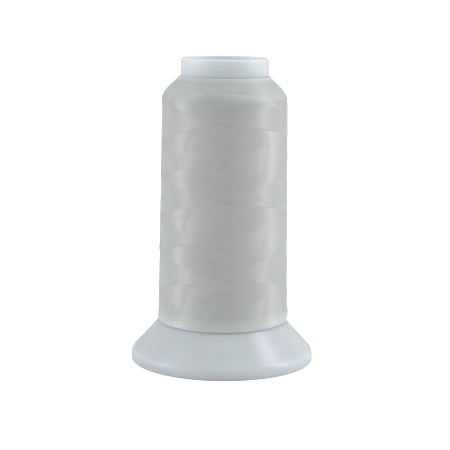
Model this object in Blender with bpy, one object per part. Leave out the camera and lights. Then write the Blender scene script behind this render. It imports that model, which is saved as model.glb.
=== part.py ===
"""A cone of sewing thread: a plastic cone with a neck and a flared foot, cross-wound with thread.

Lengths are in millimetres and become metres as each shape is made. The cone's axis is Z, it stands
on Z = 0, and the middle of its foot is the origin. -Y is the front.
"""

import math

import bmesh
import bpy
from mathutils import Vector

MM = 0.001
AROUND = 72  # flat steps around each turned surface
ARC_STEPS = 4  # flat steps along each rounding
RIGHT_FRONT = math.radians(-40.0)  # the azimuth, from +X, at which the wound bands are placed

# The plastic cone: one moulding, hollow all the way through.
CONE_HEIGHT = 110.0
NECK_RADIUS = 15.65  # outside, at the very top
TUBE_TAPER = math.radians(1.8)  # the tube widens downwards by this much a side
WALL = 1.6
FOOT_RADIUS = 33.2  # outside, at the upright lip
LIP_CORNER = 3.85  # height at which the slope and the lip would meet if the corner were sharp
FOOT_SLOPE = math.radians(42.4)  # of the foot's side, away from upright
LIP_WALL = 2.2
TOP_ROUND = 1.0  # rounding of the neck's outer edge
MOUTH_ROUND = 0.5  # rounding of its inner edge
LIP_ROUND = 4.0  # rounding where the slope turns down into the lip
FLOOR_ROUND = 1.0  # rounding of the lip's lower outer edge
JUNCTION_ROUND = 3.0  # hollow rounding where the tube meets the foot

# The wound thread.
WINDING_GAP = 0.3  # between the thread and the plastic
WINDING_TOP = 103.5  # where the shoulder meets the neck
SHOULDER_START = 95.5  # where the side starts to turn in
SIDE_TOP_RADIUS = 22.48  # at SHOULDER_START
SIDE_BOTTOM_RADIUS = 23.6  # at the foot
SHOULDER_POWER = 1.8  # how late the shoulder turns in: 2 is an even round
SHOULDER_EASE = 1.4  # how softly it runs out against the neck
COLLAR = 0.25  # thickness of the thread left standing against the neck
HEM_ROUND = 0.5  # rounding of the lower edge
SHOULDER_STEPS = 12
SIDE_STEPS = 60

# The cross winding: one family of thread falls to the right and one climbs to the right. Where a
# family's last layer ended there is a seam. Its thread lies highest just above that, lowest below.
FALLING_LEAD = -27.1  # change in height over one turn
FALLING_HEIGHT = 57.7  # of one seam at RIGHT_FRONT
FALLING_SEAMS = (0.0, 0.66)  # shares of the lead, from that seam down
CLIMBING_LEAD = 40.65
CLIMBING_HEIGHT = 54.7
CLIMBING_SEAMS = (0.0, 1 / 3, 2 / 3)
SEAM_RELIEF = 0.3  # height of a seam's step
SEAM_RUN = 1.3  # height over which the step falls away
RELIEF_FADE = 3.0  # height over which the relief dies out at both ends of the side

# The soft swelling low on the winding's right side.
SWELL_HEIGHT = 17.7
SWELL_DEPTH = 0.45
SWELL_HALF_TALL = 2.0
SWELL_HALF_WIDE = math.radians(28.0)
SWELL_AZIMUTH = 0.0  # from +X


def clear_scene():
    for old in list(bpy.data.objects):
        bpy.data.objects.remove(old, do_unlink=True)


def plastic_material():
    """Natural white polypropylene, slightly clouded and satin."""
    material = bpy.data.materials.new("moulded_plastic")
    material.use_nodes = True
    shader = material.node_tree.nodes["Principled BSDF"]
    shader.inputs["Base Color"].default_value = (0.68, 0.74, 0.77, 1.0)
    shader.inputs["Roughness"].default_value = 0.35
    shader.inputs["Metallic"].default_value = 0.0
    return material


def thread_material():
    """Off-white polyester thread with a soft sheen."""
    material = bpy.data.materials.new("wound_thread")
    material.use_nodes = True
    shader = material.node_tree.nodes["Principled BSDF"]
    shader.inputs["Base Color"].default_value = (0.56, 0.58, 0.55, 1.0)
    shader.inputs["Roughness"].default_value = 0.5
    shader.inputs["Metallic"].default_value = 0.0
    return material


def tube_radius(height, inset=0.0):
    """Radius of the tapered tube's outside at a height, moved in by inset across the wall."""
    outside = NECK_RADIUS + (CONE_HEIGHT - height) * math.tan(TUBE_TAPER)
    return outside - inset / math.cos(TUBE_TAPER)


def slope_radius(height, inset=0.0):
    """Radius of the foot's sloping outside at a height, moved in by inset across the wall."""
    outside = FOOT_RADIUS - (height - LIP_CORNER) * math.tan(FOOT_SLOPE)
    return outside - inset / math.cos(FOOT_SLOPE)


def junction(inset):
    """(radius, height) where the tube's line and the slope's line cross, both moved in by inset."""
    gap_at_floor = slope_radius(0.0, inset) - tube_radius(0.0, inset)
    height = gap_at_floor / (math.tan(FOOT_SLOPE) - math.tan(TUBE_TAPER))
    return tube_radius(height, inset), height


def rounded(corners):
    """The closed outline through (radius, height, rounding) corners, each rounded by an arc."""
    outline = []
    for i, (x, z, rounding) in enumerate(corners):
        corner = Vector((x, z))
        if rounding <= 0.0:
            outline.append((corner.x, corner.y))
            continue
        back = (Vector(corners[i - 1][:2]) - corner).normalized()
        ahead = (Vector(corners[(i + 1) % len(corners)][:2]) - corner).normalized()
        half_angle = back.angle(ahead) / 2
        centre = corner + (back + ahead).normalized() * (rounding / math.sin(half_angle))
        start = corner + back * (rounding / math.tan(half_angle)) - centre
        end = corner + ahead * (rounding / math.tan(half_angle)) - centre
        turn = start.angle_signed(end)
        for step in range(ARC_STEPS + 1):
            angle = -turn * step / ARC_STEPS
            outline.append(
                (
                    centre.x + start.x * math.cos(angle) - start.y * math.sin(angle),
                    centre.y + start.x * math.sin(angle) + start.y * math.cos(angle),
                )
            )
    return outline


def turned(name, outline, material, relief=None):
    """Turns a closed (radius, height) outline about Z into one solid, raised by relief(...) mm."""
    mesh = bmesh.new()
    rings = []
    for step in range(AROUND):
        azimuth = 2 * math.pi * step / AROUND
        ring = []
        for radius, height in outline:
            raised = relief(radius, height, azimuth) if relief else 0.0
            reach = (radius + raised) * MM
            ring.append(
                mesh.verts.new((reach * math.cos(azimuth), reach * math.sin(azimuth), height * MM))
            )
        rings.append(ring)
    count = len(outline)
    for step in range(AROUND):
        here, there = rings[step], rings[(step + 1) % AROUND]
        for i in range(count):
            j = (i + 1) % count
            mesh.faces.new((here[i], here[j], there[j], there[i]))
    bmesh.ops.recalc_face_normals(mesh, faces=mesh.faces)
    data = bpy.data.meshes.new(name)
    mesh.to_mesh(data)
    mesh.free()
    data.shade_smooth()
    data.set_sharp_from_angle(angle=math.radians(35.0))
    data.materials.append(material)
    solid = bpy.data.objects.new(name, data)
    bpy.context.scene.collection.objects.link(solid)
    return solid


def plastic_cone():
    """Neck, tube and flared foot in one wall, from the neck's outer edge down, and back up inside."""
    outer_junction = junction(0.0)
    inner_junction = junction(WALL)
    lip_inside = FOOT_RADIUS - LIP_WALL
    inner_corner = LIP_CORNER + (slope_radius(LIP_CORNER, WALL) - lip_inside) / math.tan(FOOT_SLOPE)
    corners = [
        # radius, height, rounding
        (NECK_RADIUS, CONE_HEIGHT, TOP_ROUND),
        (outer_junction[0], outer_junction[1], JUNCTION_ROUND),
        (FOOT_RADIUS, LIP_CORNER, LIP_ROUND),
        (FOOT_RADIUS, 0.0, FLOOR_ROUND),
        (lip_inside, 0.0, 0.0),
        (lip_inside, inner_corner, LIP_ROUND / 2),
        (inner_junction[0], inner_junction[1], JUNCTION_ROUND + WALL),
        (tube_radius(CONE_HEIGHT, WALL), CONE_HEIGHT, MOUTH_ROUND),
    ]
    return turned("plastic_cone", rounded(corners), plastic_material())


def hem_height():
    """Height at which the foot's slope, with the gap on it, reaches the winding's lower edge."""
    rise = slope_radius(LIP_CORNER, -WINDING_GAP) - SIDE_BOTTOM_RADIUS
    return LIP_CORNER + rise / math.tan(FOOT_SLOPE)


def side_radius(height):
    """Radius of the winding's side and shoulder at a height."""
    if height <= SHOULDER_START:
        share = (SHOULDER_START - height) / (SHOULDER_START - hem_height())
        return SIDE_TOP_RADIUS + (SIDE_BOTTOM_RADIUS - SIDE_TOP_RADIUS) * share
    neck = tube_radius(WINDING_TOP, -WINDING_GAP) + COLLAR
    climb = (height - SHOULDER_START) / (WINDING_TOP - SHOULDER_START)
    return neck + (SIDE_TOP_RADIUS - neck) * (1.0 - climb**SHOULDER_POWER) ** SHOULDER_EASE


def freshness(height, azimuth, lead, seam_height, seams):
    """0 where this family of thread lies lowest, just below a seam, to 1 just above the next."""
    turn = (azimuth - RIGHT_FRONT) / (2 * math.pi)
    below = (seam_height + lead * turn - height) / abs(lead) % 1.0
    start = max(seam for seam in seams if seam <= below)
    end = min([seam for seam in seams if seam > below], default=1.0)
    run = SEAM_RUN / abs(lead)
    if end - below < run:
        return (end - below) / run
    return (below - start) / (end - start - run)


def winding_relief(radius, height, azimuth):
    """The seams and the swelling, which touch only the side, and not the bore or the shoulder."""
    if radius < SIDE_TOP_RADIUS - 0.1:
        return 0.0
    falling = freshness(height, azimuth, FALLING_LEAD, FALLING_HEIGHT, FALLING_SEAMS)
    climbing = freshness(height, azimuth, CLIMBING_LEAD, CLIMBING_HEIGHT, CLIMBING_SEAMS)
    to_end = min(SHOULDER_START - height, height - hem_height()) / RELIEF_FADE
    seams = SEAM_RELIEF * (max(falling, climbing) - 0.5) * min(max(to_end, 0.0), 1.0)
    up = (height - SWELL_HEIGHT) / SWELL_HALF_TALL
    away = math.remainder(azimuth - SWELL_AZIMUTH, 2 * math.pi) / SWELL_HALF_WIDE
    return seams + SWELL_DEPTH * math.exp(-up * up - away * away)


def spread(start, end, steps):
    """Evenly spaced heights from start up to but not including end."""
    return [start + (end - start) * step / steps for step in range(steps)]


def thread_winding():
    """The wound thread: shoulder, tapering side, and a bore and underside that follow the plastic."""
    foot = junction(-WINDING_GAP)
    hem = hem_height()
    heights = spread(WINDING_TOP, SHOULDER_START, SHOULDER_STEPS)
    heights += spread(SHOULDER_START, hem + HEM_ROUND, SIDE_STEPS)
    corners = [(side_radius(height), height, 0.0) for height in heights]
    corners += [
        (SIDE_BOTTOM_RADIUS, hem, HEM_ROUND / 2),
        (foot[0], foot[1], JUNCTION_ROUND - WINDING_GAP),
        (tube_radius(WINDING_TOP, -WINDING_GAP), WINDING_TOP, 0.0),
    ]
    return turned("thread_winding", rounded(corners), thread_material(), winding_relief)


def main():
    clear_scene()
    plastic_cone()
    thread_winding()


main()
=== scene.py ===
import math

import bmesh
import bpy
from mathutils import Matrix, Vector


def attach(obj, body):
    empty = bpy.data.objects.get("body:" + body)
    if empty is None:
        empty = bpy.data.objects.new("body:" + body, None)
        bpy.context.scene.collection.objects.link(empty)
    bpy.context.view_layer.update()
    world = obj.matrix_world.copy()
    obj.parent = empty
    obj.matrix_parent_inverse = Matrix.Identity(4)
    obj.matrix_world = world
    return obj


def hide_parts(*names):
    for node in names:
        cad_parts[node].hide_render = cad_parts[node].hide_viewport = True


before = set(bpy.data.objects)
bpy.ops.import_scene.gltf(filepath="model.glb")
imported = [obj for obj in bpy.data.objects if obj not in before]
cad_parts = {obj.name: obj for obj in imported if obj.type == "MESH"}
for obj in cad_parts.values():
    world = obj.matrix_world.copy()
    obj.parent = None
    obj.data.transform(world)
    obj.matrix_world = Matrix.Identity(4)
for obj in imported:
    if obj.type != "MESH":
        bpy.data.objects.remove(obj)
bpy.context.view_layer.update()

# A cone of fine thread, cross-wound on a moulded plastic cone. The frame is in metres; the settings
# below are in millimetres and degrees, and mm turns them into metres.
mm = 0.001


def srgb(code):
    # "#rrggbb" as seen on a screen, to the linear colour that shaders take
    shares = [int(code[i : i + 2], 16) / 255 for i in (1, 3, 5)]
    return tuple(s / 12.92 if s <= 0.04045 else ((s + 0.055) / 1.055) ** 2.4 for s in shares) + (1.0,)


def add(tree, kind, inputs=None, **settings):
    # adds one node; an input is given a value, or a socket to link it to
    node = tree.nodes.new(kind)
    for name, value in settings.items():
        setattr(node, name, value)
    for key, value in (inputs or {}).items():
        if isinstance(value, bpy.types.NodeSocket):
            tree.links.new(value, node.inputs[key])
        else:
            node.inputs[key].default_value = value
    return node


def newMaterial(name):
    material = bpy.data.materials.new(name)
    material.use_nodes = True
    material.node_tree.nodes.clear()
    return material


cameraSettings = {
    "distance": 518.6,  # in front of the cone's axis
    "height": 135.5,
    "aside": 0.68,  # to the right, so the cone stands a little left of the middle
    "downward": 9.42,  # degrees
    "roll": 0.62,  # degrees, so the cone leans a little to the right as in the photo
    "focalPixels": 1448.3,
    "imageWide": 450,  # pixels
    "sensorWide": 36.0,
    "clipStart": 50.0,
}


def placeCamera(settings):
    lens = bpy.data.cameras.new("camera")
    lens.sensor_width = settings["sensorWide"]
    lens.lens = settings["focalPixels"] / settings["imageWide"] * lens.sensor_width
    lens.clip_start = settings["clipStart"] * mm
    camera = bpy.data.objects.new("camera", lens)
    bpy.context.scene.collection.objects.link(camera)
    place = Vector((settings["aside"], -settings["distance"], settings["height"])) * mm
    turn = Matrix.Rotation(math.radians(90 - settings["downward"]), 4, "X")
    camera.matrix_world = (
        Matrix.Translation(place) @ turn @ Matrix.Rotation(math.radians(settings["roll"]), 4, "Z")
    )
    bpy.context.scene.camera = camera


placeCamera(cameraSettings)
print("camera placed")


def roundCorners(corners, steps):
    # the outline through (radius, height, rounding) corners, each rounded by an arc
    outline = []
    for i, (x, z, rounding) in enumerate(corners):
        corner = Vector((x, z))
        if rounding <= 0:
            outline.append((x, z))
            continue
        back = (Vector(corners[i - 1][:2]) - corner).normalized()
        ahead = (Vector(corners[(i + 1) % len(corners)][:2]) - corner).normalized()
        half = back.angle(ahead) / 2
        centre = corner + (back + ahead).normalized() * (rounding / math.sin(half))
        start = corner + back * (rounding / math.tan(half)) - centre
        end = corner + ahead * (rounding / math.tan(half)) - centre
        turn = start.angle_signed(end)
        for step in range(steps + 1):
            spoke = Matrix.Rotation(-turn * step / steps, 2) @ start
            outline.append(tuple(centre + spoke))
    return outline


def turnOutline(name, outline, around, sharpAngle=40):
    # turns a closed (radius, height) outline in mm about the Z axis
    shape = bmesh.new()
    rings = []
    for step in range(around):
        angle = 2 * math.pi * step / around
        across, up = math.cos(angle) * mm, math.sin(angle) * mm
        rings.append([shape.verts.new((r * across, r * up, z * mm)) for r, z in outline])
    count = len(outline)
    for step in range(around):
        here, there = rings[step], rings[(step + 1) % around]
        for i in range(count):
            j = (i + 1) % count
            shape.faces.new((here[i], here[j], there[j], there[i]))
    bmesh.ops.recalc_face_normals(shape, faces=shape.faces)
    mesh = bpy.data.meshes.new(name)
    shape.to_mesh(mesh)
    shape.free()
    mesh.shade_smooth()
    mesh.set_sharp_from_angle(angle=math.radians(sharpAngle))
    piece = bpy.data.objects.new(name, mesh)
    bpy.context.scene.collection.objects.link(piece)
    return piece


# the moulded plastic cone: neck, tapered tube and flared hollow foot in one wall
coneSettings = {
    "height": 110.0,
    "neckRadius": 15.65,
    "tubeTaper": 1.8,
    "wall": 1.6,
    "footRadius": 33.2,
    "lipCorner": 3.85,  # height where the slope and the lip would meet if the corner were sharp
    "footSlope": 42.4,  # away from upright
    "lipWall": 2.2,
    "topRound": 1.0,
    "neckLines": (108.4, 107.3),  # heights of two fine beads that the mould's turning left
    "lineWide": 0.45,
    "lineHigh": 0.05,
    "mouthRound": 0.5,
    "lipRound": 3.4,  # where the slope turns down into the lip
    "floorRound": 0.6,
    "floorInnerRound": 0.3,
    "junctionRound": 3.0,  # where the tube meets the foot
    "around": 256,
    "arcSteps": 10,
}


def tubeRadius(s, height, inset=0.0):
    taper = math.radians(s["tubeTaper"])
    return s["neckRadius"] + (s["height"] - height) * math.tan(taper) - inset / math.cos(taper)


def slopeRadius(s, height, inset=0.0):
    slope = math.radians(s["footSlope"])
    return s["footRadius"] - (height - s["lipCorner"]) * math.tan(slope) - inset / math.cos(slope)


def tubeMeetsFoot(s, inset):
    apart = slopeRadius(s, 0, inset) - tubeRadius(s, 0, inset)
    closing = math.tan(math.radians(s["footSlope"])) - math.tan(math.radians(s["tubeTaper"]))
    height = apart / closing
    return tubeRadius(s, height, inset), height


def makeCone(s):
    outer, inner = tubeMeetsFoot(s, 0), tubeMeetsFoot(s, s["wall"])
    lipInside = s["footRadius"] - s["lipWall"]
    toLip = slopeRadius(s, s["lipCorner"], s["wall"]) - lipInside
    rise = toLip / math.tan(math.radians(s["footSlope"]))
    lines = []
    for height in s["neckLines"]:
        for up, out in ((0.5, 0), (0, s["lineHigh"]), (-0.5, 0)):
            at = height + up * s["lineWide"]
            lines.append((tubeRadius(s, at, -out), at, 0))
    corners = [
        (s["neckRadius"], s["height"], s["topRound"]),
        *lines,
        (*outer, s["junctionRound"]),
        (s["footRadius"], s["lipCorner"], s["lipRound"]),
        (s["footRadius"], 0, s["floorRound"]),
        (lipInside, 0, s["floorInnerRound"]),
        (lipInside, s["lipCorner"] + rise, s["lipRound"] / 2),
        (*inner, s["junctionRound"] + s["wall"]),
        (tubeRadius(s, s["height"], s["wall"]), s["height"], s["mouthRound"]),
    ]
    return turnOutline("mouldedCone", roundCorners(corners, s["arcSteps"]), s["around"])


def naturalPolypropylene(name):
    # injection-moulded natural polypropylene: milky, a little see-through in thin walls, and satin
    # from the mould, so light goes in and softens, and highlights have soft edges
    s = {
        "colour": "#e4edf2",
        "speckle": "#dde9ee",
        "paintedMouthGlow": "#eef4f8",  # painted glow: the thin open end is made lighter, standing for light that shines through its thin wall
        "mouthFrom": 105.5,  # heights over which it grows
        "mouthTo": 109.5,
        "shiniest": 0.17,  # roughness, which drifts between these two
        "dullest": 0.27,
        "depth": 5.0,  # mm that light goes in and wanders before it comes out
        "grain": 0.35,  # mm, the fine grain of the mould's face
        "grainDeep": 0.01,
        "grainShare": 0.15,
        "wave": 18.0,  # mm, the slow sinks of a cooled moulding
        "waveDeep": 0.25,
        "waveShare": 0.4,
    }
    material = newMaterial(name)
    tree = material.node_tree
    place = add(tree, "ShaderNodeTexCoord").outputs["Object"]
    waveScale, grainScale = 1 / (s["wave"] * mm), 1 / (s["grain"] * mm)
    cloud = add(tree, "ShaderNodeTexNoise", {"Vector": place, "Scale": waveScale, "Detail": 3.0})
    tint = add(
        tree,
        "ShaderNodeMix",
        {"Factor": cloud.outputs["Fac"], "A": srgb(s["colour"]), "B": srgb(s["speckle"])},
        data_type="RGBA",
    )
    height = add(tree, "ShaderNodeSeparateXYZ", {0: place}).outputs["Z"]
    # painted glow: towards the open end the colour is blended to a lighter one, for light coming through
    # the thin wall
    paintedGlowShare = add(
        tree,
        "ShaderNodeMapRange",
        {"Value": height, "From Min": s["mouthFrom"] * mm, "From Max": s["mouthTo"] * mm},
    )
    tint = add(
        tree,
        "ShaderNodeMix",
        {"Factor": paintedGlowShare.outputs["Result"], "A": tint.outputs[2], "B": srgb(s["paintedMouthGlow"])},
        data_type="RGBA",
    )
    grain = add(tree, "ShaderNodeTexNoise", {"Vector": place, "Scale": grainScale, "Detail": 2.0})
    sink = add(tree, "ShaderNodeTexNoise", {"Vector": place, "Scale": waveScale, "Detail": 1.0})
    rough = add(
        tree,
        "ShaderNodeMapRange",
        {"Value": cloud.outputs["Fac"], "To Min": s["shiniest"], "To Max": s["dullest"]},
    )
    fine = add(
        tree,
        "ShaderNodeBump",
        {
            "Height": grain.outputs["Fac"],
            "Strength": s["grainShare"],
            "Distance": s["grainDeep"] * mm,
        },
    )
    slow = add(
        tree,
        "ShaderNodeBump",
        {
            "Height": sink.outputs["Fac"],
            "Normal": fine.outputs["Normal"],
            "Strength": s["waveShare"],
            "Distance": s["waveDeep"] * mm,
        },
    )
    shader = add(
        tree,
        "ShaderNodeBsdfPrincipled",
        {
            "Base Color": tint.outputs[2],
            "Roughness": rough.outputs["Result"],
            "Normal": slow.outputs["Normal"],
            "IOR": 1.49,
            "Subsurface Weight": 1.0,
            "Subsurface Radius": (1.0, 1.0, 1.0),
            "Subsurface Scale": s["depth"] * mm,
        },
    )
    add(tree, "ShaderNodeOutputMaterial", {"Surface": shader.outputs["BSDF"]})
    return material


plasticCone = makeCone(coneSettings)
plasticCone.data.materials.append(naturalPolypropylene("naturalPolypropylene"))
print("moulded cone made")

# the form that the thread is wound to, with its rounded shoulder, its taper and its hem at the foot
woundSettings = {
    "gap": 0.3,  # between the thread and the plastic
    "top": 103.5,
    "shoulderStart": 95.5,
    "sideTopRadius": 22.48,
    "sideBottomRadius": 23.6,
    "shoulderPower": 1.8,
    "shoulderEase": 1.4,
    "collar": 0.25,  # thickness of the thread left standing against the neck
    # points of the last turns round the neck, out from the plastic and up from the top
    "rim": ((0.7, -0.28), (0.56, -0.2), (0.4, -0.24), (0.24, -0.45), (0.12, -0.9)),
    "rimFrom": 0.35,  # how far under the top they take over from the shoulder
    "hemRound": 0.5,
    "ridge": 0.06,  # height of the low ridge where the thread turns back just above the hem
    "ridgeUp": 0.2,
    "ridgeWide": 0.3,
    "hemSteps": 4,  # points on the rounding at the hem
    "sideSteps": 20,  # on the lowest part of the side, and as many on the rest of it
    "lowStep": 0.15,  # between the points of that lowest part
    "shoulderSteps": 40,
}
# the plain closed sleeve that the threads lie on, so no gap between them can be looked through
sleeveSettings = {
    "under": 0.55,  # how far it lies below the winding's surface
    "down": 0.1,  # and how much lower its outline sits
    "leastWall": 0.05,  # beside the neck, where the winding thins out
    "hemRound": 0.2,
    "topDown": 0.15,  # of its top edge under the winding's
    "around": 192,
    "arcSteps": 6,
}


def hemHeight(w, s):
    rise = slopeRadius(s, s["lipCorner"], -w["gap"]) - w["sideBottomRadius"]
    return s["lipCorner"] + rise / math.tan(math.radians(s["footSlope"]))


def woundRadius(w, s, height):
    if height <= w["shoulderStart"]:
        share = (w["shoulderStart"] - height) / (w["shoulderStart"] - hemHeight(w, s))
        return w["sideTopRadius"] + (w["sideBottomRadius"] - w["sideTopRadius"]) * share
    neck = tubeRadius(s, w["top"], -w["gap"]) + w["collar"]
    climb = (height - w["shoulderStart"]) / (w["top"] - w["shoulderStart"])
    return neck + (w["sideTopRadius"] - neck) * (1 - climb ** w["shoulderPower"]) ** w["shoulderEase"]


def woundProfile(w, s):
    # the winding's outside from its hem up to the neck, as (radius, height), rounded in at both ends
    hem = hemHeight(w, s)
    bottom = hem + w["hemRound"]
    turn = [
        (
            w["sideBottomRadius"] - w["hemRound"] * (1 - math.cos(a)),
            bottom - w["hemRound"] * math.sin(a),
        )
        for a in (math.pi / 2 * k / w["hemSteps"] for k in range(w["hemSteps"], 0, -1))
    ]
    side = [bottom + w["lowStep"] * k for k in range(w["sideSteps"])]
    toShoulder = w["shoulderStart"] - side[-1]
    side += [side[-1] + toShoulder * k / w["sideSteps"] for k in range(1, w["sideSteps"])]
    tall, steps = w["top"] - w["shoulderStart"], w["shoulderSteps"]
    shoulder = [w["shoulderStart"] + tall * k / steps for k in range(steps)]
    ridge = bottom + w["ridgeUp"]
    body = [
        (woundRadius(w, s, z) + w["ridge"] * math.exp(-(((z - ridge) / w["ridgeWide"]) ** 2)), z)
        for z in side + shoulder
        if z < w["top"] - w["rimFrom"]
    ]
    # the last turns round the neck: a small rounded rim, which then dips against the plastic
    neck = tubeRadius(s, w["top"])
    return turn + body + [(neck + out, w["top"] + up) for out, up in w["rim"]]


def makeSleeve(v, w, s, points):
    foot = tubeMeetsFoot(s, -w["gap"])
    neck = tubeRadius(s, w["top"], -w["gap"])
    aboveHem = points[w["hemSteps"] :]
    inmost = neck + v["leastWall"]
    corners = [(max(r - v["under"], inmost), z - v["down"], 0) for r, z in reversed(aboveHem)]
    corners += [
        (w["sideBottomRadius"] - v["under"], hemHeight(w, s) + v["under"], v["hemRound"]),
        (*foot, s["junctionRound"] - w["gap"]),
        (neck, w["top"] - v["topDown"], 0),
    ]
    return turnOutline("woundSleeve", roundCorners(corners, v["arcSteps"]), v["around"])


profile = woundProfile(woundSettings, coneSettings)
sleeve = makeSleeve(sleeveSettings, woundSettings, coneSettings, profile)
print("sleeve under the threads made")


def profileCurve(points):
    # the profile as a curve, for the tree that lays the threads to read
    curve = bpy.data.curves.new("windingProfile", "CURVE")
    curve.dimensions = "3D"
    line = curve.splines.new("POLY")
    line.points.add(len(points) - 1)
    for point, (r, z) in zip(line.points, points):
        point.co = (r * mm, 0, z * mm, 1)
    piece = bpy.data.objects.new("windingProfile", curve)
    bpy.context.scene.collection.objects.link(piece)
    return piece


# the two families of the cross winding. Their threads are 0.27 mm apart, about half as coarse again
# as real ones, which would be too fine to show
fallingSettings = {
    "threads": 100,  # side by side in one lead
    "steps": 290,
    "lead": -27.1,  # change in height over one turn to the right
    "seamHeight": 57.7,  # of the main seam at the right front
    "layers": 1,
    "split": 0.66,  # share of the lead from the main seam down to the second one
    "upperLift": -0.28,  # how much earlier the thread above the second seam was laid
    "lowerLift": 0.17,  # and how much later the thread below it
    "run": 0.6,  # height over which the step at the main seam falls away
    "splitRun": 3.0,  # and at the second one
    "lip": 0.09,  # how far the last threads above the main seam stand out further
    "seed": 3.0,
}
climbingSettings = {
    "threads": 150,
    "steps": 190,
    "lead": 40.65,
    "seamHeight": 54.3,
    "layers": 3,
    "split": 1.0,
    "upperLift": 0.0,
    "lowerLift": 0.0,
    "run": 1.8,
    "splitRun": 1.8,
    "lip": 0.0,
    "seed": 8.0,
}
layingSettings = {
    "reference": -40.0,  # the azimuth of the right front, from +X, where seam heights are given
    "turnLength": 145.0,  # of thread in one turn, for the material
    "columns": 3.0,  # of faces across a thread
    "relief": 0.06,  # height of a seam's step
    "sink": 0.17,  # how far a thread lies below those that were laid over it
    "sure": 0.07,  # how much later those were laid, as a share of a layer, where it has sunk so far
    "reliefFade": 3.0,  # height over which seams die out at both ends of the side
    "crestPower": 12.0,  # the more, the fewer threads count as the last ones before the main seam
    "threadHeight": 0.13,  # crown of one thread above the valley beside it
    "inset": 0.1,  # of the valleys between the threads, from the solid's surface
    "uneven": 0.04,  # how far a thread wanders out or in
    "wanders": 3.7,  # times a turn
    "proud": 0.14,  # how far a few loose threads stand out at most, for short stretches
    # a thread lies loose where both noises are high. Each has how quickly it changes along a turn,
    # from thread to thread and by seed, and between which values the thread comes out
    "loose": (((9.0, 1.0, 1.0), 0.62, 0.78), ((2.0, 0.05, 1.0), 0.46, 0.6)),
    "looseScale": 2.3,
    "lopsided": 0.15,  # the winding is this much fuller on its right side
    "neckSlope": 0.25,  # of the thread's climb where it meets the neck, against the side's
    "hemSlope": 0.75,  # and at the hem
    "hemEase": 5.0,  # height over which it slows down to that at the hem
    "swellHeight": 17.4,  # of the soft swelling low on the right side
    "swellDepth": 0.45,
    "swellTall": 2.0,
    "swellWide": 28.0,
}


def newGroup(name, inputs, outputs):
    group = bpy.data.node_groups.new(name, "GeometryNodeTree")
    for way, sockets in (("INPUT", inputs), ("OUTPUT", outputs)):
        for socket, kind in sockets.items():
            group.interface.new_socket(socket, in_out=way, socket_type="NodeSocket" + kind)
    return group, add(group, "NodeGroupInput").outputs


familySockets = (
    "Lead",
    "Seam height",
    "Layers",
    "Split",
    "Run",
    "Split run",
    "Upper lift",
    "Lower lift",
)


def freshnessGroup(s):
    # how lately a family's thread at a place was laid. Every layer starts low just below a seam, is
    # laid higher and higher down to the next seam, and there drops over a short run. Crest is 1 on
    # the last threads before the main seam.
    group, given = newGroup(
        "freshness",
        dict.fromkeys(("Height", "Turns") + familySockets, "Float"),
        dict.fromkeys(("Freshness", "Crest"), "Float"),
    )
    seam = add(
        group,
        "ShaderNodeMath",
        {0: given["Turns"], 1: given["Lead"], 2: given["Seam height"]},
        operation="MULTIPLY_ADD",
    ).outputs[0]
    below = add(group, "ShaderNodeMath", {0: seam, 1: given["Height"]}, operation="SUBTRACT").outputs[0]
    leadSize = add(group, "ShaderNodeMath", {0: given["Lead"]}, operation="ABSOLUTE").outputs[0]
    across = add(group, "ShaderNodeMath", {0: below, 1: leadSize}, operation="DIVIDE").outputs[0]
    layer = add(group, "ShaderNodeMath", {0: across, 1: given["Layers"]}, operation="MULTIPLY")
    share = add(group, "ShaderNodeMath", {0: layer.outputs[0]}, operation="FRACT").outputs[0]
    lower = add(
        group, "ShaderNodeMath", {0: share, 1: given["Split"]}, operation="GREATER_THAN"
    ).outputs[0]
    start = add(group, "ShaderNodeMath", {0: lower, 1: given["Split"]}, operation="MULTIPLY").outputs[0]
    end, run, lift = (
        add(
            group, "ShaderNodeMix", {"Factor": lower, "A": upper, "B": under}, data_type="FLOAT"
        ).outputs[0]
        for upper, under in (
            (given["Split"], 1.0),
            (given["Split run"], given["Run"]),
            (given["Upper lift"], given["Lower lift"]),
        )
    )
    height = add(group, "ShaderNodeMath", {0: end, 1: start}, operation="SUBTRACT").outputs[0]
    climb = add(group, "ShaderNodeMath", {0: height, 1: run}, operation="SUBTRACT").outputs[0]
    above = add(group, "ShaderNodeMath", {0: share, 1: start}, operation="SUBTRACT").outputs[0]
    above = add(group, "ShaderNodeMath", {0: above, 1: climb}, operation="DIVIDE").outputs[0]
    below = add(group, "ShaderNodeMath", {0: end, 1: share}, operation="SUBTRACT").outputs[0]
    below = add(group, "ShaderNodeMath", {0: below, 1: run}, operation="DIVIDE").outputs[0]
    plain = add(group, "ShaderNodeMath", {0: above, 1: below}, operation="MINIMUM").outputs[0]
    freshness = add(group, "ShaderNodeMath", {0: plain, 1: lift}, operation="ADD")
    crest = add(
        group, "ShaderNodeMath", {0: plain, 1: s["crestPower"]}, operation="POWER"
    ).outputs[0]
    crest = add(group, "ShaderNodeMath", {0: crest, 1: lower}, operation="MULTIPLY")
    add(group, "NodeGroupOutput", {"Freshness": freshness.outputs[0], "Crest": crest.outputs[0]})
    return group


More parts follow.
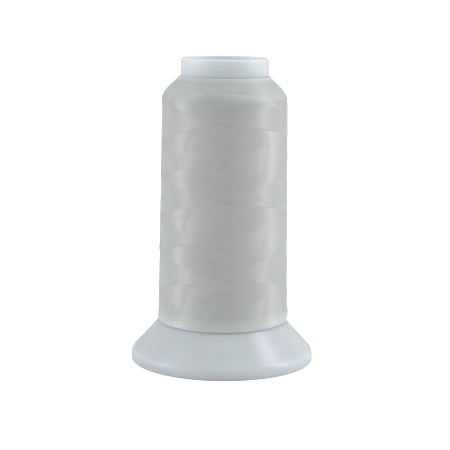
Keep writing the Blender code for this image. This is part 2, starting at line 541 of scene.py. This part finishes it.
def profileGroup():
    # the place on the winding's profile that a thread reaches at a height. Past both ends of the
    # side it climbs more and more slowly, so it lies flatter on the shoulder and at the hem.
    sizes = ("Height", "Zero", "Side low", "Side high", "Hem ease", "Neck ease")
    inputs = {"Profile": "Object"} | dict.fromkeys(sizes, "Float")
    group, given = newGroup("onProfile", inputs, dict.fromkeys(("Position", "Outward"), "Vector"))
    kept = add(
        group, "ShaderNodeMath", {0: given["Height"], 1: given["Side low"]}, operation="MAXIMUM"
    ).outputs[0]
    kept = add(
        group, "ShaderNodeMath", {0: kept, 1: given["Side high"]}, operation="MINIMUM"
    ).outputs[0]
    reach = add(group, "ShaderNodeMath", {0: kept, 1: given["Zero"]}, operation="SUBTRACT").outputs[0]
    past = add(group, "ShaderNodeMath", {0: given["Height"], 1: kept}, operation="SUBTRACT").outputs[0]
    over = add(group, "ShaderNodeMath", {0: past, 1: 0.0}, operation="MAXIMUM").outputs[0]
    under = add(group, "ShaderNodeMath", {0: past, 1: 0.0}, operation="MINIMUM").outputs[0]
    overEased = add(group, "ShaderNodeMath", {0: over, 1: given["Neck ease"]}, operation="MULTIPLY")
    overEased = add(group, "ShaderNodeMath", {0: 1.0, 1: overEased.outputs[0]}, operation="SUBTRACT")
    underEased = add(
        group, "ShaderNodeMath", {0: under, 1: given["Hem ease"], 2: 1.0}, operation="MULTIPLY_ADD"
    )
    reach = add(
        group, "ShaderNodeMath", {0: over, 1: overEased.outputs[0], 2: reach}, operation="MULTIPLY_ADD"
    ).outputs[0]
    reach = add(
        group, "ShaderNodeMath", {0: under, 1: underEased.outputs[0], 2: reach}, operation="MULTIPLY_ADD"
    ).outputs[0]
    line = add(group, "GeometryNodeObjectInfo", {"Object": given["Profile"]})
    sample = add(
        group,
        "GeometryNodeSampleCurve",
        {"Curves": line.outputs["Geometry"], "Length": reach},
        mode="LENGTH",
        use_all_curves=True,
    )
    along = add(group, "ShaderNodeSeparateXYZ", {0: sample.outputs["Tangent"]})
    inward = add(group, "ShaderNodeMath", {0: along.outputs["X"], 1: -1.0}, operation="MULTIPLY")
    outward = add(group, "ShaderNodeCombineXYZ", {"X": along.outputs["Z"], "Z": inward.outputs[0]})
    add(
        group,
        "NodeGroupOutput",
        {"Position": sample.outputs["Position"], "Outward": outward.outputs[0]},
    )
    return group


def layingGroup(s):
    # lays a sheet of ribbed threads along helices on the profile. A grid's X runs along the
    # threads, and its Y across them
    inputs = {"Profile": "Object", "Threads": "Int", "Steps": "Int"}
    sizes = (
        "Relief",
        "Sink",
        "Sure",
        "Thread height",
        "Inset",
        "Uneven",
        "Proud",
        "Lopsided",
        "Lip",
        "Low",
        "High",
        "Zero",
        "Side low",
        "Side high",
        "Relief fade",
        "Hem ease",
        "Neck ease",
        "Swell height",
        "Swell depth",
        "Swell tall",
        "Swell wide",
        "Reference",
        "Seed",
        "Columns",
        "Turn length",
    )
    inputs |= dict.fromkeys(sizes + familySockets, "Float")
    inputs |= dict.fromkeys(("Other " + name for name in familySockets), "Float")
    inputs["Material"] = "Material"
    tree, given = newGroup("layThreads", inputs, {"Geometry": "Geometry"})

    # the grid, and where each of its points is along and across the threads
    columns = add(
        tree,
        "ShaderNodeMath",
        {0: given["Threads"], 1: given["Columns"], 2: 1.0},
        operation="MULTIPLY_ADD",
    )
    grid = add(
        tree,
        "GeometryNodeMeshGrid",
        {"Size X": 1.0, "Size Y": 1.0, "Vertices X": given["Steps"], "Vertices Y": columns.outputs[0]},
    )
    spot = add(tree, "ShaderNodeSeparateXYZ", {0: add(tree, "GeometryNodeInputPosition").outputs[0]})
    along = add(tree, "ShaderNodeMath", {0: spot.outputs["X"], 1: 0.5}, operation="ADD").outputs[0]
    across = add(tree, "ShaderNodeMath", {0: spot.outputs["Y"], 1: 0.5}, operation="ADD").outputs[0]
    thread = add(
        tree, "ShaderNodeMath", {0: across, 1: given["Threads"]}, operation="MULTIPLY"
    ).outputs[0]
    height = add(
        tree,
        "ShaderNodeMapRange",
        {"Value": along, "To Min": given["Low"], "To Max": given["High"]},
        clamp=False,
    ).outputs["Result"]

    # the turn about the axis
    leadSize = add(tree, "ShaderNodeMath", {0: given["Lead"]}, operation="ABSOLUTE").outputs[0]
    fromSeam = add(
        tree, "ShaderNodeMath", {0: height, 1: given["Seam height"]}, operation="SUBTRACT"
    ).outputs[0]
    fromMain = add(
        tree, "ShaderNodeMath", {0: across, 1: leadSize, 2: fromSeam}, operation="MULTIPLY_ADD"
    ).outputs[0]
    turns = add(tree, "ShaderNodeMath", {0: fromMain, 1: given["Lead"]}, operation="DIVIDE").outputs[0]
    azimuth = add(
        tree,
        "ShaderNodeMath",
        {0: turns, 1: 2 * math.pi, 2: given["Reference"]},
        operation="MULTIPLY_ADD",
    ).outputs[0]

    profilePlace = add(tree, "GeometryNodeGroup", node_tree=profileGroup())
    for name in ("Profile", "Zero", "Side low", "Side high", "Hem ease", "Neck ease"):
        tree.links.new(given[name], profilePlace.inputs[name])
    tree.links.new(height, profilePlace.inputs["Height"])
    freshness = freshnessGroup(s)
    own, other = (
        add(
            tree,
            "GeometryNodeGroup",
            {name: given[prefix + name] for name in familySockets},
            node_tree=freshness,
        )
        for prefix in ("", "Other ")
    )
    for family in (own, other):
        tree.links.new(height, family.inputs["Height"])
        tree.links.new(turns, family.inputs["Turns"])

    # how far the thread stands out: its layer, which levels out at both ends of the side
    toTop = add(
        tree, "ShaderNodeMath", {0: given["Side high"], 1: height}, operation="SUBTRACT"
    ).outputs[0]
    toHem = add(tree, "ShaderNodeMath", {0: height, 1: given["Zero"]}, operation="SUBTRACT").outputs[0]
    toEnd = add(tree, "ShaderNodeMath", {0: toTop, 1: toHem}, operation="MINIMUM").outputs[0]
    fade = add(
        tree, "ShaderNodeMath", {0: toEnd, 1: given["Relief fade"]}, operation="DIVIDE", use_clamp=True
    ).outputs[0]
    layer = add(
        tree,
        "ShaderNodeMath",
        {0: own.outputs["Freshness"], 1: other.outputs["Freshness"]},
        operation="MAXIMUM",
    ).outputs[0]
    layer = add(tree, "ShaderNodeMath", {0: layer, 1: 0.5}, operation="SUBTRACT").outputs[0]
    layer = add(tree, "ShaderNodeMath", {0: layer, 1: given["Relief"]}, operation="MULTIPLY").outputs[0]
    layer = add(
        tree,
        "ShaderNodeMath",
        {0: own.outputs["Crest"], 1: given["Lip"], 2: layer},
        operation="MULTIPLY_ADD",
    ).outputs[0]
    lift = add(
        tree, "ShaderNodeMath", {0: layer, 1: fade, 2: given["Inset"]}, operation="MULTIPLY_ADD"
    ).outputs[0]

    # and it sinks under the other family's threads where those were laid later
    later = add(
        tree,
        "ShaderNodeMath",
        {0: other.outputs["Freshness"], 1: own.outputs["Freshness"]},
        operation="SUBTRACT",
    ).outputs[0]
    sunk = add(
        tree,
        "ShaderNodeMapRange",
        {"Value": later, "From Min": 0.0, "From Max": given["Sure"], "To Max": given["Sink"]},
        interpolation_type="SMOOTHSTEP",
    ).outputs["Result"]
    lift = add(tree, "ShaderNodeMath", {0: lift, 1: sunk}, operation="SUBTRACT").outputs[0]

    # its own round back
    back = add(tree, "ShaderNodeMath", {0: thread, 1: math.pi}, operation="MULTIPLY").outputs[0]
    back = add(tree, "ShaderNodeMath", {0: back}, operation="SINE").outputs[0]
    back = add(tree, "ShaderNodeMath", {0: back}, operation="ABSOLUTE").outputs[0]
    lift = add(
        tree, "ShaderNodeMath", {0: back, 1: given["Thread height"], 2: lift}, operation="MULTIPLY_ADD"
    ).outputs[0]

    # its unevenness, and the few threads that lie loose on the others. A valley's points count to the
    # thread before it, so a hair is taken off
    whole = add(tree, "ShaderNodeMath", {0: thread, 1: 0.001}, operation="SUBTRACT").outputs[0]
    whole = add(tree, "ShaderNodeMath", {0: whole}, operation="FLOOR").outputs[0]
    spread = add(
        tree, "ShaderNodeCombineXYZ", {"X": turns, "Y": whole, "Z": given["Seed"]}
    ).outputs[0]
    wander = add(
        tree, "ShaderNodeTexNoise", {"Vector": spread, "Scale": s["wanders"], "Detail": 1.0}
    ).outputs[0]
    wander = add(tree, "ShaderNodeMath", {0: wander, 1: 0.5}, operation="SUBTRACT").outputs[0]
    lift = add(
        tree, "ShaderNodeMath", {0: wander, 1: given["Uneven"], 2: lift}, operation="MULTIPLY_ADD"
    ).outputs[0]
    loose = back
    for stretch, start, end in s["loose"]:
        pattern = add(tree, "ShaderNodeVectorMath", {0: spread, 1: stretch}, operation="MULTIPLY")
        here = add(
            tree,
            "ShaderNodeTexNoise",
            {"Vector": pattern.outputs[0], "Scale": s["looseScale"], "Detail": 0.0},
        ).outputs[0]
        here = add(
            tree, "ShaderNodeMapRange", {"Value": here, "From Min": start, "From Max": end}
        ).outputs[0]
        loose = add(tree, "ShaderNodeMath", {0: loose, 1: here}, operation="MULTIPLY").outputs[0]
    lift = add(
        tree, "ShaderNodeMath", {0: loose, 1: given["Proud"], 2: lift}, operation="MULTIPLY_ADD"
    ).outputs[0]

    # the fuller right side, and the soft swelling low on it, which is widest at azimuth 0. Twice the
    # cosine less two stands for the azimuth's square, with its sign turned
    rightward = add(tree, "ShaderNodeMath", {0: azimuth}, operation="COSINE").outputs[0]
    fuller = add(tree, "ShaderNodeMath", {0: rightward, 1: fade}, operation="MULTIPLY").outputs[0]
    lift = add(
        tree, "ShaderNodeMath", {0: fuller, 1: given["Lopsided"], 2: lift}, operation="MULTIPLY_ADD"
    ).outputs[0]
    up = add(
        tree, "ShaderNodeMath", {0: height, 1: given["Swell height"]}, operation="SUBTRACT"
    ).outputs[0]
    up = add(tree, "ShaderNodeMath", {0: up, 1: given["Swell tall"]}, operation="DIVIDE").outputs[0]
    up = add(tree, "ShaderNodeMath", {0: up, 1: up}, operation="MULTIPLY").outputs[0]
    aside = add(
        tree, "ShaderNodeMath", {0: rightward, 1: 2.0, 2: -2.0}, operation="MULTIPLY_ADD"
    ).outputs[0]
    wide = add(
        tree, "ShaderNodeMath", {0: given["Swell wide"], 1: given["Swell wide"]}, operation="MULTIPLY"
    ).outputs[0]
    aside = add(tree, "ShaderNodeMath", {0: aside, 1: wide}, operation="DIVIDE").outputs[0]
    swell = add(tree, "ShaderNodeMath", {0: aside, 1: up}, operation="SUBTRACT").outputs[0]
    swell = add(tree, "ShaderNodeMath", {0: swell}, operation="EXPONENT").outputs[0]
    lift = add(
        tree, "ShaderNodeMath", {0: swell, 1: given["Swell depth"], 2: lift}, operation="MULTIPLY_ADD"
    ).outputs[0]

    stand = add(
        tree,
        "ShaderNodeVectorMath",
        {0: profilePlace.outputs["Outward"], "Scale": lift},
        operation="SCALE",
    ).outputs[0]
    place = add(
        tree,
        "ShaderNodeVectorMath",
        {0: profilePlace.outputs["Position"], 1: stand},
        operation="ADD",
    ).outputs[0]
    place = add(
        tree,
        "ShaderNodeVectorRotate",
        {"Vector": place, "Angle": azimuth},
        rotation_type="Z_AXIS",
    ).outputs[0]

    # what the material reads: metres along the thread, the share across it, and which thread it is
    length = add(
        tree, "ShaderNodeMath", {0: turns, 1: given["Turn length"]}, operation="MULTIPLY"
    ).outputs[0]
    shareAcross = add(tree, "ShaderNodeMath", {0: thread}, operation="FRACT").outputs[0]
    path = add(tree, "ShaderNodeCombineXYZ", {"X": length, "Y": shareAcross, "Z": whole}).outputs[0]
    mapped = add(
        tree,
        "GeometryNodeStoreNamedAttribute",
        {"Geometry": grid.outputs["Mesh"], "Name": "OFBake", "Value": grid.outputs["UV Map"]},
        data_type="FLOAT2",
        domain="CORNER",
    )
    marked = add(
        tree,
        "GeometryNodeStoreNamedAttribute",
        {"Geometry": mapped.outputs[0], "Name": "threadPath", "Value": path},
        data_type="FLOAT_VECTOR",
        domain="POINT",
    )
    laid = add(
        tree, "GeometryNodeSetPosition", {"Geometry": marked.outputs[0], "Position": place}
    ).outputs[0]
    smooth = add(tree, "GeometryNodeSetShadeSmooth", {"Geometry": laid}).outputs[0]
    real = add(tree, "GeometryNodeRealizeInstances", {"Geometry": smooth}).outputs[0]
    dressed = add(tree, "GeometryNodeSetMaterial", {"Geometry": real, "Material": given["Material"]})
    add(tree, "NodeGroupOutput", {"Geometry": dressed.outputs[0]})
    return tree


def profileLength(points, height=math.inf):
    # along the profile from its start up to a height
    length = 0.0
    for (r0, z0), (r1, z1) in zip(points, points[1:]):
        if z1 > height + 1e-6:
            break
        length += math.hypot(r1 - r0, z1 - z0)
    return length


def familyValues(family, prefix):
    perLayer = family["layers"] / abs(family["lead"])
    values = {
        "Lead": family["lead"] * mm,
        "Seam height": family["seamHeight"] * mm,
        "Layers": float(family["layers"]),
        "Split": family["split"],
        "Run": family["run"] * perLayer,
        "Split run": family["splitRun"] * perLayer,
        "Upper lift": family["upperLift"],
        "Lower lift": family["lowerLift"],
    }
    return {prefix + name: value for name, value in values.items()}


def layThreads(name, tree, line, family, otherFamily, laying, material):
    sideHigh = woundSettings["shoulderStart"]
    toSideHigh = profileLength(profile, sideHigh)
    zero = sideHigh - toSideHigh  # the height at which a thread that never slowed would start
    sideLow = zero + laying["hemEase"]
    under = laying["hemEase"] / ((1 + laying["hemSlope"]) / 2)
    over = (profileLength(profile) - toSideHigh) / ((1 + laying["neckSlope"]) / 2)
    values = {
        "Profile": line,
        "Threads": family["threads"],
        "Steps": family["steps"],
        "Relief": laying["relief"] * mm,
        "Sink": laying["sink"] * mm,
        "Sure": laying["sure"],
        "Relief fade": laying["reliefFade"] * mm,
        "Thread height": laying["threadHeight"] * mm,
        "Inset": -laying["inset"] * mm,
        "Uneven": laying["uneven"] * mm,
        "Proud": laying["proud"] * mm,
        "Lopsided": laying["lopsided"] * mm,
        "Lip": family["lip"] * mm,
        "Low": (sideLow - under) * mm,
        "High": (sideHigh + over) * mm,
        "Zero": zero * mm,
        "Side low": sideLow * mm,
        "Side high": sideHigh * mm,
        "Swell height": laying["swellHeight"] * mm,
        "Swell depth": laying["swellDepth"] * mm,
        "Swell tall": laying["swellTall"] * mm,
        "Swell wide": math.radians(laying["swellWide"]),
        "Hem ease": (1 - laying["hemSlope"]) / (2 * under * mm),
        "Neck ease": (1 - laying["neckSlope"]) / (2 * over * mm),
        "Seed": family["seed"],
        "Reference": math.radians(laying["reference"]),
        "Columns": laying["columns"],
        "Turn length": laying["turnLength"] * mm,
        "Material": material,
    }
    values |= familyValues(family, "") | familyValues(otherFamily, "Other ")
    carrier = bpy.data.objects.new(name + "Carrier", bpy.data.meshes.new(name + "Carrier"))
    bpy.context.scene.collection.objects.link(carrier)
    modifier = carrier.modifiers.new("layThreads", "NODES")
    modifier.node_group = tree
    for item in tree.interface.items_tree:
        if item.in_out == "INPUT":
            modifier[item.identifier] = values[item.name]
    result = carrier.evaluated_get(bpy.context.evaluated_depsgraph_get())
    mesh = bpy.data.meshes.new_from_object(result)
    mesh.name = name
    bpy.data.objects.remove(carrier, do_unlink=True)
    piece = bpy.data.objects.new(name, mesh)
    bpy.context.scene.collection.objects.link(piece)
    middle = mesh.polygons[len(mesh.polygons) // 2]
    if middle.normal.dot(Vector((middle.center.x, middle.center.y, 0))) < 0:
        mesh.flip_normals()
    print(name, len(mesh.polygons) * 2, "triangles")
    return piece


def satinPolyester(name):
    # fine twisted filament polyester: off-white, smooth filaments with a satin shine along the
    # thread's length, a faint rope-like twist, and small changes of shade from thread to thread
    s = {
        "colour": "#d6dad5",
        "shade": "#ced2cc",
        "ends": "#ebf1ee",  # painted light: the last turns at the hem and at the neck are made lighter, standing for the light the milky plastic beside them throws onto them
        "hemEnds": (5.5, 0.8),  # heights over the hem where that starts, and is reached
        "neckEnds": (1.8, 0.4),  # and heights under the top
        "roughness": 0.3,
        "shoulderRoughness": 0.52,  # where the turns lie less evenly, which softens the shine
        "shoulderFrom": 94.5,
        "shoulderTo": 98.5,
        "twist": 0.6,  # mm along the thread for one turn of its twist
        "twistDeep": 0.008,
        "twistShare": 0.5,
    }
    material = newMaterial(name)
    tree = material.node_tree
    path = add(tree, "ShaderNodeAttribute", attribute_name="threadPath")
    parts = add(tree, "ShaderNodeSeparateXYZ", {0: path.outputs["Vector"]})
    shade = add(tree, "ShaderNodeTexWhiteNoise", {"W": parts.outputs["Z"]}, noise_dimensions="1D")
    tint = add(
        tree,
        "ShaderNodeMix",
        {"Factor": shade.outputs["Value"], "A": srgb(s["colour"]), "B": srgb(s["shade"])},
        data_type="RGBA",
    )
    place = add(tree, "ShaderNodeTexCoord").outputs["Object"]
    height = add(tree, "ShaderNodeSeparateXYZ", {0: place}).outputs["Z"]
    hem, top = hemHeight(woundSettings, coneSettings), woundSettings["top"]
    atHem, atNeck = (
        add(tree, "ShaderNodeMapRange", {"Value": height, "From Min": start * mm, "From Max": end * mm})
        for start, end in (
            (hem + s["hemEnds"][0], hem + s["hemEnds"][1]),
            (top - s["neckEnds"][0], top - s["neckEnds"][1]),
        )
    )
    # painted light: near the hem and the neck the thread's colour is blended to a lighter one, for light
    # from the plastic beside it
    paintedLightShare = add(
        tree,
        "ShaderNodeMath",
        {0: atHem.outputs["Result"], 1: atNeck.outputs["Result"]},
        operation="MAXIMUM",
    )
    tint = add(
        tree,
        "ShaderNodeMix",
        {"Factor": paintedLightShare.outputs[0], "A": tint.outputs[2], "B": srgb(s["ends"])},
        data_type="RGBA",
    )
    rough = add(
        tree,
        "ShaderNodeMapRange",
        {
            "Value": height,
            "From Min": s["shoulderFrom"] * mm,
            "From Max": s["shoulderTo"] * mm,
            "To Min": s["roughness"],
            "To Max": s["shoulderRoughness"],
        },
    )
    turn = add(
        tree,
        "ShaderNodeMath",
        {0: parts.outputs["X"], 1: 1 / (s["twist"] * mm), 2: parts.outputs["Y"]},
        operation="MULTIPLY_ADD",
    )
    phase = add(tree, "ShaderNodeMath", {0: turn.outputs[0], 1: 2 * math.pi}, operation="MULTIPLY")
    ply = add(tree, "ShaderNodeMath", {0: phase.outputs[0]}, operation="SINE")
    bump = add(
        tree,
        "ShaderNodeBump",
        {
            "Height": ply.outputs[0],
            "Strength": s["twistShare"],
            "Distance": s["twistDeep"] * mm,
        },
    )
    shader = add(
        tree,
        "ShaderNodeBsdfPrincipled",
        {
            "Base Color": tint.outputs[2],
            "Roughness": rough.outputs["Result"],
            "Normal": bump.outputs["Normal"],
            "IOR": 1.64,
            "Specular IOR Level": 1.0,
            "Sheen Weight": 0.1,
            "Sheen Roughness": 0.4,
        },
    )
    add(tree, "ShaderNodeOutputMaterial", {"Surface": shader.outputs["BSDF"]})
    return material


thread = satinPolyester("satinPolyesterThread")
sleeve.data.materials.append(thread)
line = profileCurve(profile)
tree = layingGroup(layingSettings)
fallingThreads = layThreads(
    "fallingThreads", tree, line, fallingSettings, climbingSettings, layingSettings, thread
)
climbingThreads = layThreads(
    "climbingThreads", tree, line, climbingSettings, fallingSettings, layingSettings, thread
)
bpy.data.objects.remove(line, do_unlink=True)
print("threads laid")

# nothing moves, so every piece rides on the root
for piece in (plasticCone, sleeve, fallingThreads, climbingThreads):
    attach(piece, "root")
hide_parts("plastic_cone")
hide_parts("thread_winding")

# the studio: a pale board to stand on, a white room and five soft lights
studioSettings = {
    "boardSize": 6000.0,
    "board": "#efefef",
    "room": (0.172, 0.165, 0.135),  # how bright the room is to the object, where it is darkest
    "sides": (0.49, 0.46, 0.49),  # and how much brighter from either side
    "behind": (0.16, 0.17, 0.2),  # and from behind the object
    "cool": (0.9, 1.03, 1.12),  # colour of the top light and the high left one
    "even": (1.02, 1.05, 1.11),  # of the high right one
    "warm": (1.02, 0.98, 1.03),  # and of the two low ones
    "boxDistance": 1500.0,
    "boxes": {  # degrees to the right of the front and up, then wide and tall, and watts
        "topBox": (0.0, 89.0, 900.0, 900.0, 6.6, "cool"),
        "highRightBox": (90.0, 38.0, 420.0, 1300.0, 6.7, "even"),
        "lowRightBox": (80.0, 8.0, 420.0, 900.0, 1.7, "warm"),
        "highLeftBox": (-82.0, 38.0, 600.0, 1300.0, 2.4, "cool"),
        "lowLeftBox": (-80.0, 8.0, 420.0, 900.0, 3.5, "warm"),
    },
}


def paleBoard(s):
    # a matt pale board. The camera sees it burnt out to white, as in the photo, and the object is
    # lit only by what the board really sends back
    half = s["boardSize"] / 2 * mm
    mesh = bpy.data.meshes.new("paleBoard")
    corners = [(-half, -half, 0), (half, -half, 0), (half, half, 0), (-half, half, 0)]
    mesh.from_pydata(corners, [], [(0, 1, 2, 3)])
    board = bpy.data.objects.new("paleBoard", mesh)
    bpy.context.scene.collection.objects.link(board)
    material = newMaterial("mattBoard")
    tree = material.node_tree
    seen = add(tree, "ShaderNodeLightPath").outputs["Is Camera Ray"]
    shader = add(
        tree,
        "ShaderNodeBsdfPrincipled",
        {
            "Base Color": srgb(s["board"]),
            "Roughness": 0.9,
            "Emission Color": (1, 1, 1, 1),
            "Emission Strength": seen,
        },
    )
    add(tree, "ShaderNodeOutputMaterial", {"Surface": shader.outputs["BSDF"]})
    mesh.materials.append(material)


def softbox(name, s):
    # a wide soft light that faces the cone
    azimuth, elevation, wide, tall, power, colour = s["boxes"][name]
    light = bpy.data.lights.new(name, "AREA")
    light.shape = "RECTANGLE"
    light.size = wide * mm
    light.size_y = tall * mm
    light.energy = power
    light.color = s[colour]
    lamp = bpy.data.objects.new(name, light)
    bpy.context.scene.collection.objects.link(lamp)
    turn, rise = math.radians(azimuth), math.radians(elevation)
    away = Vector((math.sin(turn) * math.cos(rise), -math.cos(turn) * math.cos(rise), math.sin(rise)))
    lamp.location = away * s["boxDistance"] * mm
    lamp.rotation_euler = (-away).to_track_quat("-Z", "Y").to_euler()


def lightStudio(s):
    # a room that is dark behind the camera and lighter to both sides and behind the object. It looks
    # as white as the board, so there is no horizon
    world = bpy.data.worlds.new("studio")
    bpy.context.scene.world = world
    world.use_nodes = True
    tree = world.node_tree
    tree.nodes.clear()
    seen = add(tree, "ShaderNodeLightPath").outputs["Is Camera Ray"]
    way = add(tree, "ShaderNodeTexCoord").outputs["Generated"]
    parts = add(tree, "ShaderNodeSeparateXYZ", {0: way}).outputs
    side = add(tree, "ShaderNodeMath", {0: parts["X"]}, operation="ABSOLUTE")
    behind = add(tree, "ShaderNodeMath", {0: parts["Y"], 1: 0.0}, operation="MAXIMUM")
    room = s["room"]
    for share, colour in ((side, s["sides"]), (behind, s["behind"])):
        inputs = {0: share.outputs[0], 1: colour, 2: room}
        room = add(tree, "ShaderNodeVectorMath", inputs, operation="MULTIPLY_ADD").outputs[0]
    light = add(
        tree, "ShaderNodeMix", {"Factor": seen, "A": room, "B": (1, 1, 1, 1)}, data_type="RGBA"
    )
    white = add(tree, "ShaderNodeBackground", {"Color": light.outputs[2]})
    add(tree, "ShaderNodeOutputWorld", {"Surface": white.outputs[0]})
    for name in s["boxes"]:
        softbox(name, s)
    bpy.context.scene.view_settings.view_transform = "Standard"


paleBoard(studioSettings)
lightStudio(studioSettings)
print("studio lit")
